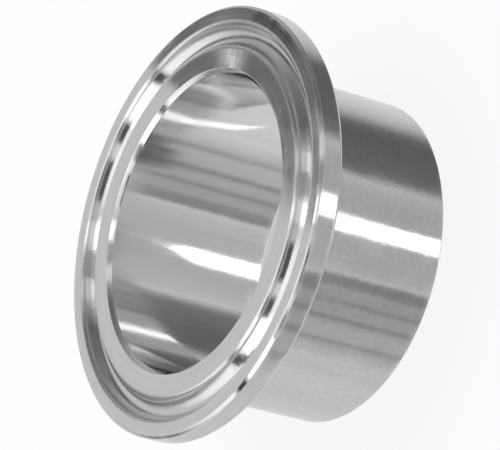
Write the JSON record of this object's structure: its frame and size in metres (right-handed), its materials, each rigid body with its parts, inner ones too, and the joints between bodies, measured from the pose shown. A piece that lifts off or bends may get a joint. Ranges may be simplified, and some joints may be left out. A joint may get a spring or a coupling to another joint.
{
  "type": "sanitary clamp ferrule",
  "caption": "Short turned tube stub with a wide clamping rim, a half-round gasket groove in its flat sealing face, and a plain weld end.",
  "frame": {"origin": "on the axis, at the centre of the weld end's face", "axes": "+Z along the axis, from the weld end to the sealing face; X and Y are alike"},
  "size_m": [0.0506, 0.0504, 0.0215],
  "materials": {
    "polished_stainless": "polished stainless steel with fine turning lines round the axis"
  },
  "bodies": {
    "root": {"ferrule": "polished_stainless"}
  },
  "joints": []
}
